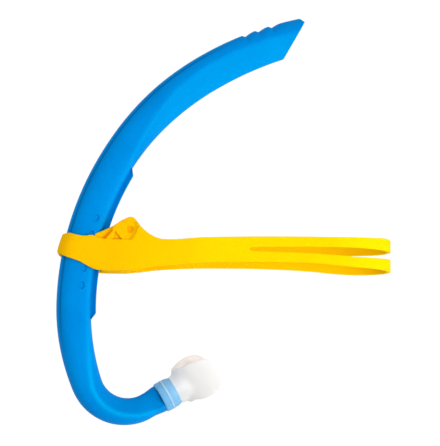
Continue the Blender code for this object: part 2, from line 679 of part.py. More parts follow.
def main():
    for item in list(bpy.data.objects):
        bpy.data.objects.remove(item)
    parts = bpy.data.collections.new("centre_snorkel")
    cutters = bpy.data.collections.new("cutters")
    for collection in (parts, cutters):
        bpy.context.scene.collection.children.link(collection)
    make_tube(parts, cutters)
    make_rail(parts)
    make_slider(parts)
    make_collar(parts, cutters)
    make_spacer(parts, cutters)
    make_pad(parts)
    make_side_bands(parts, cutters)
    make_rear_bands(parts)
    make_mouthpiece(parts, cutters)


main()
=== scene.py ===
"""Looks of a swimmer's centre snorkel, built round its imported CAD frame.

World units are metres. The numbers below are millimetres, as in the CAD, and are scaled when meshes are made.
"""

import functools
import math

import bmesh
import numpy as np
import bpy
from mathutils import Matrix, Vector


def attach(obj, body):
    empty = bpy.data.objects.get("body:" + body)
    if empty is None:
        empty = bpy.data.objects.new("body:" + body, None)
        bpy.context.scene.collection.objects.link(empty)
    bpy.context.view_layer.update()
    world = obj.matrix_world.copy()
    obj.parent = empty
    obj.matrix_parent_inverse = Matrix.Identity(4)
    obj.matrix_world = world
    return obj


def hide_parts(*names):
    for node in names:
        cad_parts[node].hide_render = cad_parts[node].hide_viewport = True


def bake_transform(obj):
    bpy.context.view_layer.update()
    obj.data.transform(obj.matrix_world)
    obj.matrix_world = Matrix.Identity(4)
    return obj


MM = 0.001
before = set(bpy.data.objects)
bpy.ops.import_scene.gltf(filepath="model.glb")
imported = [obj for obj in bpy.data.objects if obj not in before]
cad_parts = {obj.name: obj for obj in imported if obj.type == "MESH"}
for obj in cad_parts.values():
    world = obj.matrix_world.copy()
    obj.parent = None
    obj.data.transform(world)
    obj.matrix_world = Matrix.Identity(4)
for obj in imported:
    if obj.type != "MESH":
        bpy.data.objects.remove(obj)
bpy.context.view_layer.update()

# ---- the tube's route and sections, as in the CAD ----
SPIGOT_END = (46.4, -150.6)
SPIGOT_TILT = 29.5
SPIGOT_LENGTH = 17.8
TUBE_RUNS = ((0.0, 35.8), (43.0, 99.1), (226.0, 21.6), (304.0, 35.2), (271.0, 22.1), (360.0, 22.0))
SLIDE_RADIUS = 304.0
SLIDE_CENTRE = (244.2, -68.2)
HALF_DEPTH = (
    (0, 13.9), (17.5, 13.9), (18.4, 14.6), (21, 14.4), (31, 13.2), (43, 13.6), (98, 15.7),
    (193, 18.15), (353, 18.2), (468, 19.5), (625, 17.6))
HALF_WIDTH = (
    (0, 13.9), (17.5, 13.9), (18.4, 14.6), (21, 14.4), (31, 13.0), (98, 12.4), (193, 12.3),
    (468, 12.3), (625, 11.6))
SQUARENESS = ((0, 2.0), (31, 2.0), (110, 2.4), (625, 2.4))
WALL = 2.1
CROWN = ((470, 0), (541, 1.0), (625, 1.5))  # how much further the front reaches towards the inlet
RIDGE = (  # how far out from the centreline the sides' ridge line runs
    (25, 10), (50, 6), (70, 3.5), (90, 0), (110, -4), (130, -8), (150, -12), (180, -14.5), (345, -15.5),
    (370, -12.5), (400, -7), (430, -1), (460, 4), (500, 7.5), (625, 6))
RIDGE_TAPER = (
    (18, 0), (31, 0.3), (50, 0.5), (110, 0.45), (150, 0.2), (185, 0), (345, 0), (400, 0.4), (430, 0.55),
    (625, 0.5))
RIDGE_ROUND, RIDGE_SPREAD = 2.5, 2.6
RIDGE_OFF, RIDGE_FADE = -14.4, 4.0  # a ridge this far back leaves the oval as it is, and fades in from it
RIDGE_HIGHLIGHT = (  # painted highlight: how far the ridge line shows as a lighter streak
    (20, 0), (35, 0.4), (100, 0.55), (150, 0.3), (200, 0.2), (345, 0.2), (400, 0.22), (440, 0.15), (480, 0))
INNER_SIDE_SHADING = (  # painted shading of the sides behind the ridge line: painted shade below zero, painted light above
    (20, -0.22), (60, -0.22), (100, -0.1), (140, 0), (370, 0), (410, 0.18), (450, 0.24), (625, 0.24))
CREASE_DEPTH = 1.0
SPINE_HEIGHT = 0.9
SPINE_HALF = 6.9  # half width of the raised spine along the front
SPINE_FADE = ((145, 0), (190, 1), (470, 1), (545, 0))
TOOTH_PEAKS = (541.1, 555.2, 569.2)
TOOTH_DROP, TOOTH_RISE, TOOTH_DEPTH = 3.4, 10.5, 2.3
TOP_CUT = ((160.1, 199.9), (182.6, 239.6))
TIP_CHAMFER = ((182.6, 239.6), (178.7, 243.1))
CUT_ROWS_FROM = 505.0  # from here on the tube's rows lean over until they lie in the inlet's plane
LEAN_ROWS, BORE_LEAN_ROWS = 110, 20  # how many rows do so, outside about a millimetre apart
RIM_INSET, BORE_RIM_INSET = 0.5, 0.35  # how far before the plane the last of them stops
RIM_SHARES = (0.16, 0.5, 0.84)  # rows across the inlet's rim, from the outside to the bore
CUT_SEARCH = (520.0, 660.0)  # lengths between which the tube meets the inlet's plane
CUT_HALVINGS = 40
DIMPLES_HALF_SPAN = 46  # the rows are closest together this far either side of the middle dimple
DIMPLE_MIDDLE, DIMPLE_PITCH, DIMPLE_COUNT = 252.7, 18.6, 5
DIMPLE_OUT = -6.9
DIMPLE_HALF = (2.9, 4.5)
DIMPLE_DEPTH = 1.25
RAIL_SPAN = (180.3, 357.2)
RAIL_HEIGHT = 4.95
RAIL_FOOT = ((-0.8, 4.4), (0.5, 4.5))  # (height above the tube's rear, half width)
RAIL_HEAD = (  # (share of the rail's height, half width)
    (0.45, 5.2), (0.72, 6.1), (0.80, 6.3), (0.88, 6.25), (0.96, 5.9), (1.0, 5.3), (1.0, 2.4))
RAIL_END_ROWS = (-0.4, 0, 1.5, 3, 4.5, 6, 7)
RAIL_RAMP = 6.3  # length over which the rail rises at its ends
TUBE_SHIFT_X = (  # how far the visible tube stands from the centreline of the runs
    (0, 0), (26, 0), (60, 0.7), (110, 0.85), (240, 0.8), (330, 0.6), (420, 0.25), (625, 0.2))
TUBE_SHIFT_Z = ((0, 0), (26, 0), (60, 0.6), (240, 0.5), (330, 0.4), (420, 0.2), (625, 0.2))

# ---- head bracket and strap ----
BAND_THICKNESS = 2.2
BAND_END = 122.6
ARM_SIDE = (
    (-52, 12.9), (-38, 12.95), (-24, 13.1), (0, 14.7), (31, 17.2), (50, 19.8), (70, 23.0), (85, 25.2),
    (126, 28.0), (170, 31.8), (190, 33.2), (212, 34.0))
BAND_TOP = (
    (-74.0, 10.2), (-70.9, 11.9), (-66.9, 12.6), (-62.3, 11.3), (-57.9, 10.4), (-53.4, 9.7), (-49.4, 9.8),
    (-46.0, 10.4), (-43.0, 10.2), (-38.0, 8.4), (-30.5, 6.6), (-8, 5.9), (-1, 5.6), (2, 7.6), (4.5, 12.5),
    (6.9, 18.3), (8.3, 20.0), (10.4, 19.2), (12.6, 17.0), (19, 11.8), (26, 8.1), (33, 6.3), (42, 5.9),
    (73, 7.6), (122.6, 8.4))
BAND_BOTTOM = (
    (-71.2, -6.0), (-69.5, -9.6), (-64.8, -12.2), (-59, -14.4), (-54.9, -15.9), (-50, -17.6), (-45.6, -19.4),
    (-42, -20.7), (-38, -22.3), (-34, -23.9), (-30, -25.0), (-20, -25.6), (-6, -25.5), (3, -24.7),
    (12, -23.8), (21, -22.8), (31, -22.0), (42, -21.0), (63, -19.6), (85, -18.6), (122.6, -18.2))
FRONT_FLARE = ((-9.0, 0.6), (-3.9, 1.6), (2.4, 1.2), (10.9, 0.2))  # (Z, how far the front stands off)
FRONT_THICKER, ARM_THINNER = 0.8, 0.2
FRONT_TURN = 30.0  # the collar's path round half the tube's front, 3 degrees to a unit
COLLAR_GAP = 0.6
TUCK_SPAN = (-52.0, -38.0, 8.0, 30.0)  # X values between which the lower edge curls in under the bracket
TUCK_HEIGHT, TUCK_DEPTH = 5.5, 2.2
UPPER_TOP = ((122.6, 8.4), (126, 8.4), (170, 8.2), (213, 7.8), (252, 8.4), (261, 9.2), (266, 9.2), (271, 8.0))
UPPER_BOTTOM = (
    (122.6, -4.6), (123.6, -3.4), (126, -2.9), (132, -2.6), (170, -2.5), (205, -2.7), (229, -3.0),
    (272, -3.9))
LOWER_TOP = (
    (122.6, -4.9), (123.6, -6.0), (126, -6.5), (132, -7.0), (170, -8.5), (195, -9.9), (214, -11.2),
    (229, -12.2), (233, -12.4), (252, -12.7), (262, -12.3), (272, -11.6))
LOWER_BOTTOM = (
    (122.6, -18.2), (126, -18.2), (170, -18.9), (195, -20.2), (214, -22.0), (233, -23.4), (252, -24.1),
    (272, -24.6))
LOOP_WIDEST, LOOP_END = 212.0, 57.0  # X where the rear bend starts, and how far it reaches behind that
BEND_PATH = 70.0  # the bend's part of the half loop's path, beside the straight part's length
REAR_BAND_THICKNESS = 2.0
REAR_THICKER = 2.2  # the bands thicken round the rear bend
REAR_THICKENS = (236.0, 266.0)  # X values between which they do so
LOOP_PARTS = 100.0  # parts in half the loop's path
BAND_CORNER = 0.65  # radius of the bands' edges
CORNER_STEPS = 4


# ---- helpers ----
SHARP_ANGLE = 48


def knot_slope(knots, i):
    """Slope of a knot curve at knot i; level where the curve turns back."""
    def piece(k):
        return (knots[k + 1][1] - knots[k][1]) / (knots[k + 1][0] - knots[k][0])
    if i == 0:
        return piece(0)
    if i == len(knots) - 1:
        return piece(i - 1)
    before, after = piece(i - 1), piece(i)
    return 0.0 if before * after <= 0 else 2 * before * after / (before + after)


def along(knots, x):
    """Smooth curve through (x, value) knots, level past both ends."""
    if x <= knots[0][0]:
        return knots[0][1]
    if x >= knots[-1][0]:
        return knots[-1][1]
    i = max(k for k in range(len(knots) - 1) if knots[k][0] <= x)
    (x0, v0), (x1, v1) = knots[i], knots[i + 1]
    span, t = x1 - x0, (x - x0) / (x1 - x0)
    rise = knot_slope(knots, i) * span * t * (1 - t) ** 2 - knot_slope(knots, i + 1) * span * t * t * (1 - t)
    return v0 + (v1 - v0) * t * t * (3 - 2 * t) + rise


def steps(start, end, count):
    return [start + (end - start) * k / count for k in range(count + 1)]


def smooth(t):
    t = max(0.0, min(1.0, t))
    return t * t * (3 - 2 * t)


def power(value, exponent):
    return math.copysign(abs(value) ** exponent, value)


def placed(name, data):
    """Adds an object to the scene."""
    obj = bpy.data.objects.new(name, data)
    bpy.context.scene.collection.objects.link(obj)
    return obj


def new_piece(name, mesh, mat, body, replaced):
    """Adds a piece that stands for CAD nodes, and rides on a body if one is given."""
    obj = placed(name, mesh)
    mesh.materials.append(mat)
    mesh.shade_smooth()
    mesh.set_sharp_from_angle(angle=math.radians(SHARP_ANGLE))
    if body:
        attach(obj, body)
    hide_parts(*replaced)
    return obj


def finished_mesh(bm, name):
    mesh = bpy.data.meshes.new(name)
    bm.to_mesh(mesh)
    bm.free()
    return mesh


def join_rings(bm, rings, loop_back=False):
    """Faces between rings of vertices, capped at both ends or looped back to the first."""
    for low, high in zip(rings, rings[1:] + rings[:1] if loop_back else rings[1:]):
        for k in range(len(low)):
            after = (k + 1) % len(low)
            bm.faces.new((low[k], low[after], high[after], high[k]))
    if not loop_back:
        bm.faces.new(list(reversed(rings[0])))
        bm.faces.new(rings[-1])


def rings_mesh(name, rings, loop_back=False):
    """Closed mesh through rings of points in millimetres."""
    bm = bmesh.new()
    join_rings(bm, [[bm.verts.new(Vector(p) * MM) for p in ring] for ring in rings], loop_back)
    bmesh.ops.recalc_face_normals(bm, faces=bm.faces)
    return finished_mesh(bm, name)


def new_marks(mesh, *names):
    """Adds number attributes to a mesh's points and returns their data, in the order of their names."""
    for name in names:
        mesh.attributes.new(name, "FLOAT", "POINT")
    return [mesh.attributes[name].data for name in names]


# ---- materials ----
# painted highlight colour of the tube's ridge line
RIDGE_HIGHLIGHT_BLUE = (0.0, 0.46, 0.88)
YELLOW_SHADE_FADE = (-0.02, 0.085)  # X in metres over which the painted shade of the bracket's deeper yellow gives way to the strap's brighter yellow


class Nodes:
    """Small builder for a material's node tree."""

    def __init__(self, name):
        self.mat = bpy.data.materials.new(name)
        self.mat.use_nodes = True
        self.tree = self.mat.node_tree
        self.shader = self.tree.nodes["Principled BSDF"]
        self.coords = self.add("ShaderNodeTexCoord").outputs["Object"]

    def add(self, kind, **settings):
        node = self.tree.nodes.new(kind)
        for key, value in settings.items():
            setattr(node, key, value)
        return node

    def link(self, source, target):
        self.tree.links.new(source, target)

    def put(self, **values):
        for key, value in values.items():
            self.shader.inputs[key.replace("_", " ")].default_value = value

    def noise(self, scale, detail=2.0):
        node = self.add("ShaderNodeTexNoise")
        node.inputs["Scale"].default_value = scale
        node.inputs["Detail"].default_value = detail
        self.link(self.coords, node.inputs["Vector"])
        return node.outputs["Fac"]

    def remap(self, value, low, high, to_low, to_high):
        node = self.add("ShaderNodeMapRange")
        for socket, number in zip(("From Min", "From Max", "To Min", "To Max"), (low, high, to_low, to_high)):
            node.inputs[socket].default_value = number
        self.link(value, node.inputs["Value"])
        return node.outputs["Result"]

    def mix(self, fac, a, b):
        """Colour between a and b, each a colour or a socket."""
        node = self.add("ShaderNodeMix", data_type="RGBA")
        colour_in = [s for s in node.inputs if s.type == "RGBA"]
        fac_in = [s for s in node.inputs if s.name == "Factor" and s.type == "VALUE"][0]
        for socket, value in ((fac_in, fac), (colour_in[0], a), (colour_in[1], b)):
            if isinstance(value, tuple):
                socket.default_value = (*value, 1.0)
            else:
                self.link(value, socket)
        return [s for s in node.outputs if s.type == "RGBA"][0]

    def bump(self, layers):
        """Stacks bump layers of (height, strength, distance in metres)."""
        normal = None
        for height, strength, distance in layers:
            node = self.add("ShaderNodeBump")
            node.inputs["Strength"].default_value = strength
            node.inputs["Distance"].default_value = distance
            self.link(height, node.inputs["Height"])
            if normal:
                self.link(normal, node.inputs["Normal"])
            normal = node.outputs["Normal"]
        self.link(normal, self.shader.inputs["Normal"])

    def attribute(self, name):
        return self.add("ShaderNodeAttribute", attribute_name=name).outputs["Fac"]


def blue_plastic(name, dark, light):
    """Moulded plastic: cloudy blue, worn specks, painted shade that darkens creases and a painted highlight
    that lightens the ridge line.
    """
    nodes = Nodes(name)
    cloud = nodes.noise(28.0, 3.0)
    speck = nodes.noise(900.0)
    colour = nodes.mix(nodes.remap(cloud, 0.3, 0.7, 0.0, 1.0), dark, light)
    worn = nodes.mix(nodes.remap(speck, 0.45, 0.75, 0.0, 0.12), colour, light)
    # painted shade: this mark darkens creases, dimple rims and the bend's inner sides
    painted_shade = nodes.remap(nodes.attribute("painted_shade"), 0.0, 1.0, 0.0, 0.55)
    with_painted_shade = nodes.mix(painted_shade, worn, tuple(0.45 * channel for channel in dark))
    # painted highlight along the ridge line and painted light on the upper arc's sides
    nodes.link(nodes.mix(nodes.attribute("painted_light"), with_painted_shade, RIDGE_HIGHLIGHT_BLUE), nodes.shader.inputs["Base Color"])
    nodes.link(nodes.remap(nodes.noise(160.0, 3.0), 0.3, 0.7, 0.34, 0.46), nodes.shader.inputs["Roughness"])
    nodes.bump(((nodes.noise(1500.0), 0.12, 0.00008), (nodes.noise(110.0), 0.10, 0.0004)))
    nodes.put(IOR=1.46, Specular_IOR_Level=0.06, Specular_Tint=(0.0, 0.5, 1.0, 1.0))
    return nodes.mat


def yellow_silicone(name, near, far, deep_shade):
    """Silicone whose colour runs along X from the bracket's deeper yellow, painted shade, to the strap's
    brighter one.
    """
    nodes = Nodes(name)
    split = nodes.add("ShaderNodeSeparateXYZ")
    nodes.link(nodes.coords, split.inputs["Vector"])
    run = nodes.remap(split.outputs["X"], *YELLOW_SHADE_FADE, 0.0, 1.0)
    cloud = nodes.noise(45.0, 3.0)
    colour = nodes.mix(run, near, far)
    warm = nodes.mix(nodes.remap(cloud, 0.35, 0.75, 0.0, 0.18), colour, near)
    # painted shade, a deeper yellow, on inner faces and in hollows
    nodes.link(nodes.mix(nodes.attribute("deep_shade"), warm, deep_shade), nodes.shader.inputs["Base Color"])
    nodes.link(nodes.remap(nodes.noise(220.0, 3.0), 0.3, 0.7, 0.42, 0.56), nodes.shader.inputs["Roughness"])
    nodes.bump(((nodes.noise(1300.0), 0.15, 0.00008), (nodes.noise(150.0), 0.08, 0.0003)))
    nodes.put(IOR=1.41, Subsurface_Weight=0.1, Subsurface_Scale=0.0015, Specular_IOR_Level=0.02,
              Subsurface_Radius=(1.0, 0.5, 0.08))
    return nodes.mat


def clear_silicone(name):
    """Milky silicone: painted shade on the wings and lower neck, a darker pink-grey on the far wing, blue
    where the tube shows through.
    """
    nodes = Nodes(name)
    tint = nodes.attribute("over_tube")
    cloud = nodes.noise(60.0)
    pale = nodes.mix(nodes.remap(cloud, 0.3, 0.7, 0.0, 1.0), (0.97, 0.97, 0.975), (0.985, 0.975, 0.955))
    # painted shade from the shade mark
    body = nodes.mix(nodes.attribute("shade"), pale, (0.82, 0.80, 0.775))
    far_tinted = nodes.mix(nodes.attribute("far_wing_tint"), body, (0.78, 0.69, 0.65))
    nodes.link(nodes.mix(tint, far_tinted, (0.05, 0.40, 0.74)), nodes.shader.inputs["Base Color"])
    nodes.link(nodes.remap(nodes.noise(200.0), 0.3, 0.7, 0.30, 0.42), nodes.shader.inputs["Roughness"])
    nodes.bump(((nodes.noise(900.0), 0.10, 0.00008),))
    nodes.put(IOR=1.41, Subsurface_Weight=0.35, Subsurface_Scale=0.003, Transmission_Weight=0.04,
              Specular_IOR_Level=0.3, Subsurface_Radius=(1.0, 0.95, 0.9))
    return nodes.mat


TUBE_MAT = blue_plastic("moulded_blue", (0.0, 0.228, 0.665), (0.0, 0.255, 0.712))
# the rail's blue is the tube's plastic made darker: painted shade for its undercut sides
RAIL_SHADED_MAT = blue_plastic("moulded_blue_rail_shaded", (0.0, 0.193, 0.60), (0.0, 0.217, 0.645))
# first colour: the bracket's deeper yellow, painted shade; second: the strap's yellow
YELLOW = yellow_silicone("yellow_silicone", (0.98, 0.525, 0.0), (0.98, 0.68, 0.0), (0.97, 0.52, 0.0))
# last colour of each yellow: painted shade for inner faces and hollows
CORE_YELLOW = yellow_silicone("yellow_silicone_core", (0.98, 0.52, 0.0), (0.98, 0.55, 0.0), (0.97, 0.36, 0.0))
SILICONE = clear_silicone("translucent_silicone")


# ---- tube ----
def tube_frame(length):
    """X, Z and heading of the tube's centreline at a length from its lower end."""
    x, z = SPIGOT_END
    heading = math.radians(180 + SPIGOT_TILT)
    for radius, amount in TUBE_RUNS:
        run = amount if radius == 0 else radius * math.radians(amount)
        step = min(length, run)
        if radius == 0:
            x += math.cos(heading) * step
            z += math.sin(heading) * step
        else:
            turned = heading - step / radius
            x += (math.sin(heading) - math.sin(turned)) * radius
            z -= (math.cos(heading) - math.cos(turned)) * radius
            heading = turned
        length -= step
        if length <= 0:
            break
    return x, z, heading


def tube_point(length, out, side):
    x, z, heading = tube_frame(length)
    x += along(TUBE_SHIFT_X, length)
    z += along(TUBE_SHIFT_Z, length)
    return x - math.sin(heading) * out, side, z + math.cos(heading) * out


def tooth_depth(length):
    depth = 0.0
    for peak in TOOTH_PEAKS:
        fall = (length - peak) / TOOTH_DROP
        rise = (length - peak - TOOTH_DROP) / TOOTH_RISE
        if 0 <= fall <= 1:
            depth = TOOTH_DEPTH * smooth(fall)
        elif 0 < rise < 1:
            depth = TOOTH_DEPTH * (1 - math.sin(rise * math.pi / 2))
    return depth


def half_angles():
    """Section angles of one side, closer together at the spine's edge and the teeth."""
    angles = []
    for start, end, count in ((0, 27, 7), (27, 39, 12), (39, 88, 14), (88, 120, 32), (120, 180, 16)):
        angles += steps(start, end, count)[:-1]
    return angles + [180.0]


HALF_ANGLES = half_angles()
ANGLES = HALF_ANGLES + [-angle for angle in reversed(HALF_ANGLES[1:-1])]


@functools.lru_cache(maxsize=None)
def section_sizes(length):
    return tuple(along(knots, length)
                 for knots in (HALF_DEPTH, HALF_WIDTH, SQUARENESS, CROWN, RIDGE, RIDGE_TAPER))


def section_point(length, angle, inset, spine=0.0):
    """Point of the tube's section at an angle; inset is how far inside the outer skin it lies.

    Behind the ridge line the sides run in straight to the rear edge instead of staying oval.
    """
    depth, width, squareness, crown, ridge, taper = section_sizes(length)
    depth, width = depth - inset, width - inset
    exponent = 2 / squareness
    cosine, sine = math.cos(math.radians(angle)), math.sin(math.radians(abs(angle)))
    if abs(angle) > 179.9:
        sine = 0.0
    front = depth + crown - spine if cosine > 0 else depth
    out = front * power(cosine, exponent)
    side = width * power(sine, exponent)
    ridge = max(ridge, 1.5 - depth)
    behind = ridge - out
    if behind > 0:
        share = min(1.0, behind / (ridge + depth))
        at_ridge = width * (1 - (abs(ridge) / depth) ** squareness) ** (1 / squareness)
        flat = at_ridge * (1 - taper * share) * (1 - share ** 5) ** (1 / 2.2)
        side += (flat - side) * smooth(behind / RIDGE_ROUND) * smooth((ridge - RIDGE_OFF) / RIDGE_FADE)
    return out, side


def dimple_reach(length, out):
    """Distance from the nearest dimple's middle; 1 is the dimple's edge."""
    steps_off = round((length - DIMPLE_MIDDLE) / DIMPLE_PITCH)
    steps_off = max(-(DIMPLE_COUNT // 2), min(DIMPLE_COUNT // 2, steps_off))
    return math.hypot((length - DIMPLE_MIDDLE - steps_off * DIMPLE_PITCH) / DIMPLE_HALF[1],
                      (out - DIMPLE_OUT) / DIMPLE_HALF[0])


def outer_point(length, angle):
    """Point on the tube's outside: spine, teeth and dimples included."""
    spine = SPINE_HEIGHT * along(SPINE_FADE, length)
    out, side = section_point(length, angle, 0.0, spine)
    front = math.cos(math.radians(angle))
    if front > 0 and spine > 0:
        out += spine * (1 - smooth((side - SPINE_HALF) / 1.1 + 0.5))
        groove = CREASE_DEPTH * spine * math.exp(-((side - SPINE_HALF - 0.85) / 0.55) ** 2)
        out -= groove * 0.6
        side -= groove * 0.6
    teeth = tooth_depth(length)
    if teeth > 0:
        out -= teeth * smooth((front - 0.35) / 0.4)
    reach = dimple_reach(length, out)
    if reach < 1.5 and side > 6:
        side -= DIMPLE_DEPTH * smooth((1 - reach) / 0.42)
        side += 0.16 * math.exp(-((reach - 1.12) / 0.12) ** 2)
    return out, math.copysign(side, angle)


def bore_point(length, angle):
    out, side = section_point(length, angle, WALL)
    return out, math.copysign(side, angle)


def cut_height(point):
    """How far a point stands beyond the inlet's slanted plane."""
    (x0, z0), (x1, z1) = TOP_CUT
    run = math.hypot(x1 - x0, z1 - z0)
    return ((point[0] - x0) * (z1 - z0) - (point[2] - z0) * (x1 - x0)) / run


def meet_cut(section, angle):
    """Length at which the section's point at an angle reaches the inlet's plane."""
    low, high = CUT_SEARCH
    for _ in range(CUT_HALVINGS):
        mid = (low + high) / 2
        if cut_height(tube_point(mid, *section(mid, angle))) < 0:
            low = mid
        else:
            high = mid
    return low


def tip_clamped(point):
    """Trims the very tip along its small chamfer."""
    (x0, z0), (x1, z1) = TIP_CHAMFER
    run = math.hypot(x1 - x0, z1 - z0)
    nx, nz = (z1 - z0) / run, -(x1 - x0) / run
    beyond = (point[0] - x0) * nx + (point[2] - z0) * nz
    if beyond > 0:
        return point[0] - nx * beyond, point[1], point[2] - nz * beyond
    return point


def tube_rows(section, lengths, lean_rows, inset):
    """Rows of tube points: square to the tube at first, then leaning into the inlet's plane."""
    rows = [[tube_point(length, *section(length, angle)) for angle in ANGLES] for length in lengths]
    ends = [meet_cut(section, angle) - inset for angle in ANGLES]
    for k in range(1, lean_rows + 1):
        share = k / lean_rows
        row = []
        for end, angle in zip(ends, ANGLES):
            length = CUT_ROWS_FROM + (end - CUT_ROWS_FROM) * share
            row.append(tip_clamped(tube_point(length, *section(length, angle))))
        rows.append(row)
    return rows


def inlet_edge(section):
    """The points where a section's lines reach the inlet's plane."""
    points = []
    for angle in ANGLES:
        length = meet_cut(section, angle)
        points.append(tube_point(length, *section(length, angle)))
    return points


def mark_tube(mesh, lengths):
    """Paints shade into the outer skin's creases and round its dimples, a highlight along its ridge line, and
    light onto the upper arc's sides behind the ridge and shade onto the bend's.
    """
    painted_shades, painted_lights = new_marks(mesh, "painted_shade", "painted_light")
    for row, length in enumerate(lengths):
        spine, highlight_strength = along(SPINE_FADE, length), along(RIDGE_HIGHLIGHT, length)
        ridge, side_shading = along(RIDGE, length), along(INNER_SIDE_SHADING, length)
        for column, angle in enumerate(ANGLES):
            out, side = section_point(length, angle, 0.0)
            painted_shade = 0.0
            # painted shade in the groove beside the spine
            if spine > 0 and abs(angle) < 90:
                painted_shade = spine * math.exp(-((side - SPINE_HALF - 0.8) / 0.9) ** 2)
            if side > 3 or out < 0:
                # painted highlight along the ridge line, painted light on the upper arc's sides behind it and
                # painted shade on the bend's
                ridge_highlight = highlight_strength * math.exp(-((out - ridge) / RIDGE_SPREAD) ** 2)
                inner = side_shading * smooth((ridge + 1.5 - out) / 7.0)
                painted_lights[row * len(ANGLES) + column].value = ridge_highlight + max(0.0, inner)
                painted_shade += max(0.0, -inner)
            # painted shade round each dimple's rim
            reach = dimple_reach(length, out)
            if reach < 1.3 and side > 6:
                painted_shade += 0.55 * math.exp(-((reach - 0.80) / 0.16) ** 2)
            painted_shades[row * len(ANGLES) + column].value = painted_shade


def make_tube():
    """One closed skin: up the outside, over the inlet's rim and down the bore."""
    fine = (DIMPLE_MIDDLE - DIMPLES_HALF_SPAN, DIMPLE_MIDDLE + DIMPLES_HALF_SPAN)
    lengths = steps(0, 40, 30) + steps(40, 112, 60)[1:] + steps(112, fine[0], 40)[1:]
    lengths += steps(*fine, 150)[1:] + steps(fine[1], CUT_ROWS_FROM, 110)[1:]
    outer = tube_rows(outer_point, lengths, LEAN_ROWS, RIM_INSET)
    inner = tube_rows(bore_point, steps(0, CUT_ROWS_FROM, 90), BORE_LEAN_ROWS, BORE_RIM_INSET)
    outside, inside = inlet_edge(outer_point), inlet_edge(bore_point)
    rim = []
    for share in RIM_SHARES:
        rim.append([tip_clamped(tuple(p + (q - p) * share for p, q in zip(start, end)))
                    for start, end in zip(outside, inside)])
    mesh = rings_mesh("tube_shell", outer + rim + list(reversed(inner)), loop_back=True)
    mark_tube(mesh, lengths + steps(CUT_ROWS_FROM, CUT_ROWS_FROM + LEAN_ROWS, LEAN_ROWS)[1:])
    new_piece("tube_shell", mesh, TUBE_MAT, "tube", ("tube_body",))


def make_rail():
    """Undercut rail with softened edges; its foot reaches just into the tube's rear."""
    start, end = RAIL_SPAN
    lengths = [start + row for row in RAIL_END_ROWS] + steps(start + 9, end - 9, 110)
    lengths += [end - row for row in reversed(RAIL_END_ROWS)]
    rings = []
    for length in lengths:
        back = along(HALF_DEPTH, length)
        rise = min(length - start + 0.5, end + 0.5 - length) / RAIL_RAMP
        height = RAIL_HEIGHT * max(0.02, min(1.0, rise))
        half = RAIL_FOOT + tuple((height * share, side) for share, side in RAIL_HEAD)
        points = [(-(back + out), side) for out, side in half]
        ring = points + [(out, -side) for out, side in reversed(points)]
        rings.append([tube_point(length, *point) for point in ring])
    new_piece("tube_rail", rings_mesh("tube_rail", rings), RAIL_SHADED_MAT, "tube", ("bracket_rail",))


# ---- bands ----
def arc_x(out, z):
    return SLIDE_CENTRE[0] - math.sqrt((SLIDE_RADIUS + out) ** 2 - (z - SLIDE_CENTRE[1]) ** 2)


def arc_out(x):
    return math.hypot(SLIDE_CENTRE[0] - x, SLIDE_CENTRE[1]) - SLIDE_RADIUS


def band_ring(inner, u, low, high, thickness, rows):
    """Ring round a band at path place u: inner face, top edge, outer face and bottom edge."""
    def point(z, off):
        here = Vector(inner(u, z))
        du = Vector(inner(u + 0.05, z)) - Vector(inner(u - 0.05, z))
        dz = Vector(inner(u, z + 0.1)) - Vector(inner(u, z - 0.1))
        return tuple(here + dz.cross(du).normalized() * off)
    turns = [math.pi / 2 * k / CORNER_STEPS for k in range(CORNER_STEPS + 1)]
    arcs = [(BAND_CORNER * math.cos(turn), BAND_CORNER * math.sin(turn)) for turn in turns]
    top, bottom, outer = high - BAND_CORNER, low + BAND_CORNER, thickness - BAND_CORNER
    ring = [point(z, 0.0) for z in steps(bottom, top, rows)]
    ring += [point(top + rise, BAND_CORNER - back) for back, rise in arcs[1:]]
    ring += [point(top + rise, outer + ahead) for rise, ahead in arcs]
    ring += [point(z, thickness) for z in steps(top, bottom, rows)[1:]]
    ring += [point(bottom - drop, outer + ahead) for ahead, drop in arcs[1:]]
    ring += [point(bottom - drop, BAND_CORNER - back) for drop, back in arcs[:-1]]
    return ring


def front_share(u):
    """1 at the very front of the collar, falling to 0 at its arms."""
    return max(0.0, math.cos(math.radians(min(abs(u), FRONT_TURN) * 3)))


def collar_place(u):
    """(x at height zero, out, side) of the collar's inner line.

    u is 0 at the very front and FRONT_TURN where an arm starts, then counts the millimetres along the arm.
    """
    depth = along(HALF_DEPTH, DIMPLE_MIDDLE) + COLLAR_GAP
    width = along(HALF_WIDTH, DIMPLE_MIDDLE) + COLLAR_GAP
    exponent = 2 / along(SQUARENESS, DIMPLE_MIDDLE)
    if abs(u) < FRONT_TURN:
        angle = math.radians(abs(u) * 3)
        out = depth * power(math.cos(angle), exponent)
        side = width * power(math.sin(angle), exponent)
        x = arc_x(out, 0.0)
    else:
        x = arc_x(0.0, 0.0) + (abs(u) - FRONT_TURN)
        out = arc_out(x)
        side = along(ARM_SIDE, x)
    return x, out, math.copysign(side, u)


def collar_inner(u, z):
    """Inner face of the front band, upright at the arms and following the tube's lean at the front."""
    x, out, side = collar_place(u)
    out += along(FRONT_FLARE, z) * front_share(u)
    upright = smooth((x + 26.0) / 22.0)
    low = along(BAND_BOTTOM, x)
    start, full, fade, end = TUCK_SPAN
    share = smooth((x - start) / (full - start)) * (1 - smooth((x - fade) / (end - fade)))
    tuck = TUCK_DEPTH * share * max(0.0, (low + TUCK_HEIGHT - z) / TUCK_HEIGHT) ** 2
    return arc_x(out, z) * (1 - upright) + x * upright, side - math.copysign(tuck, u), z


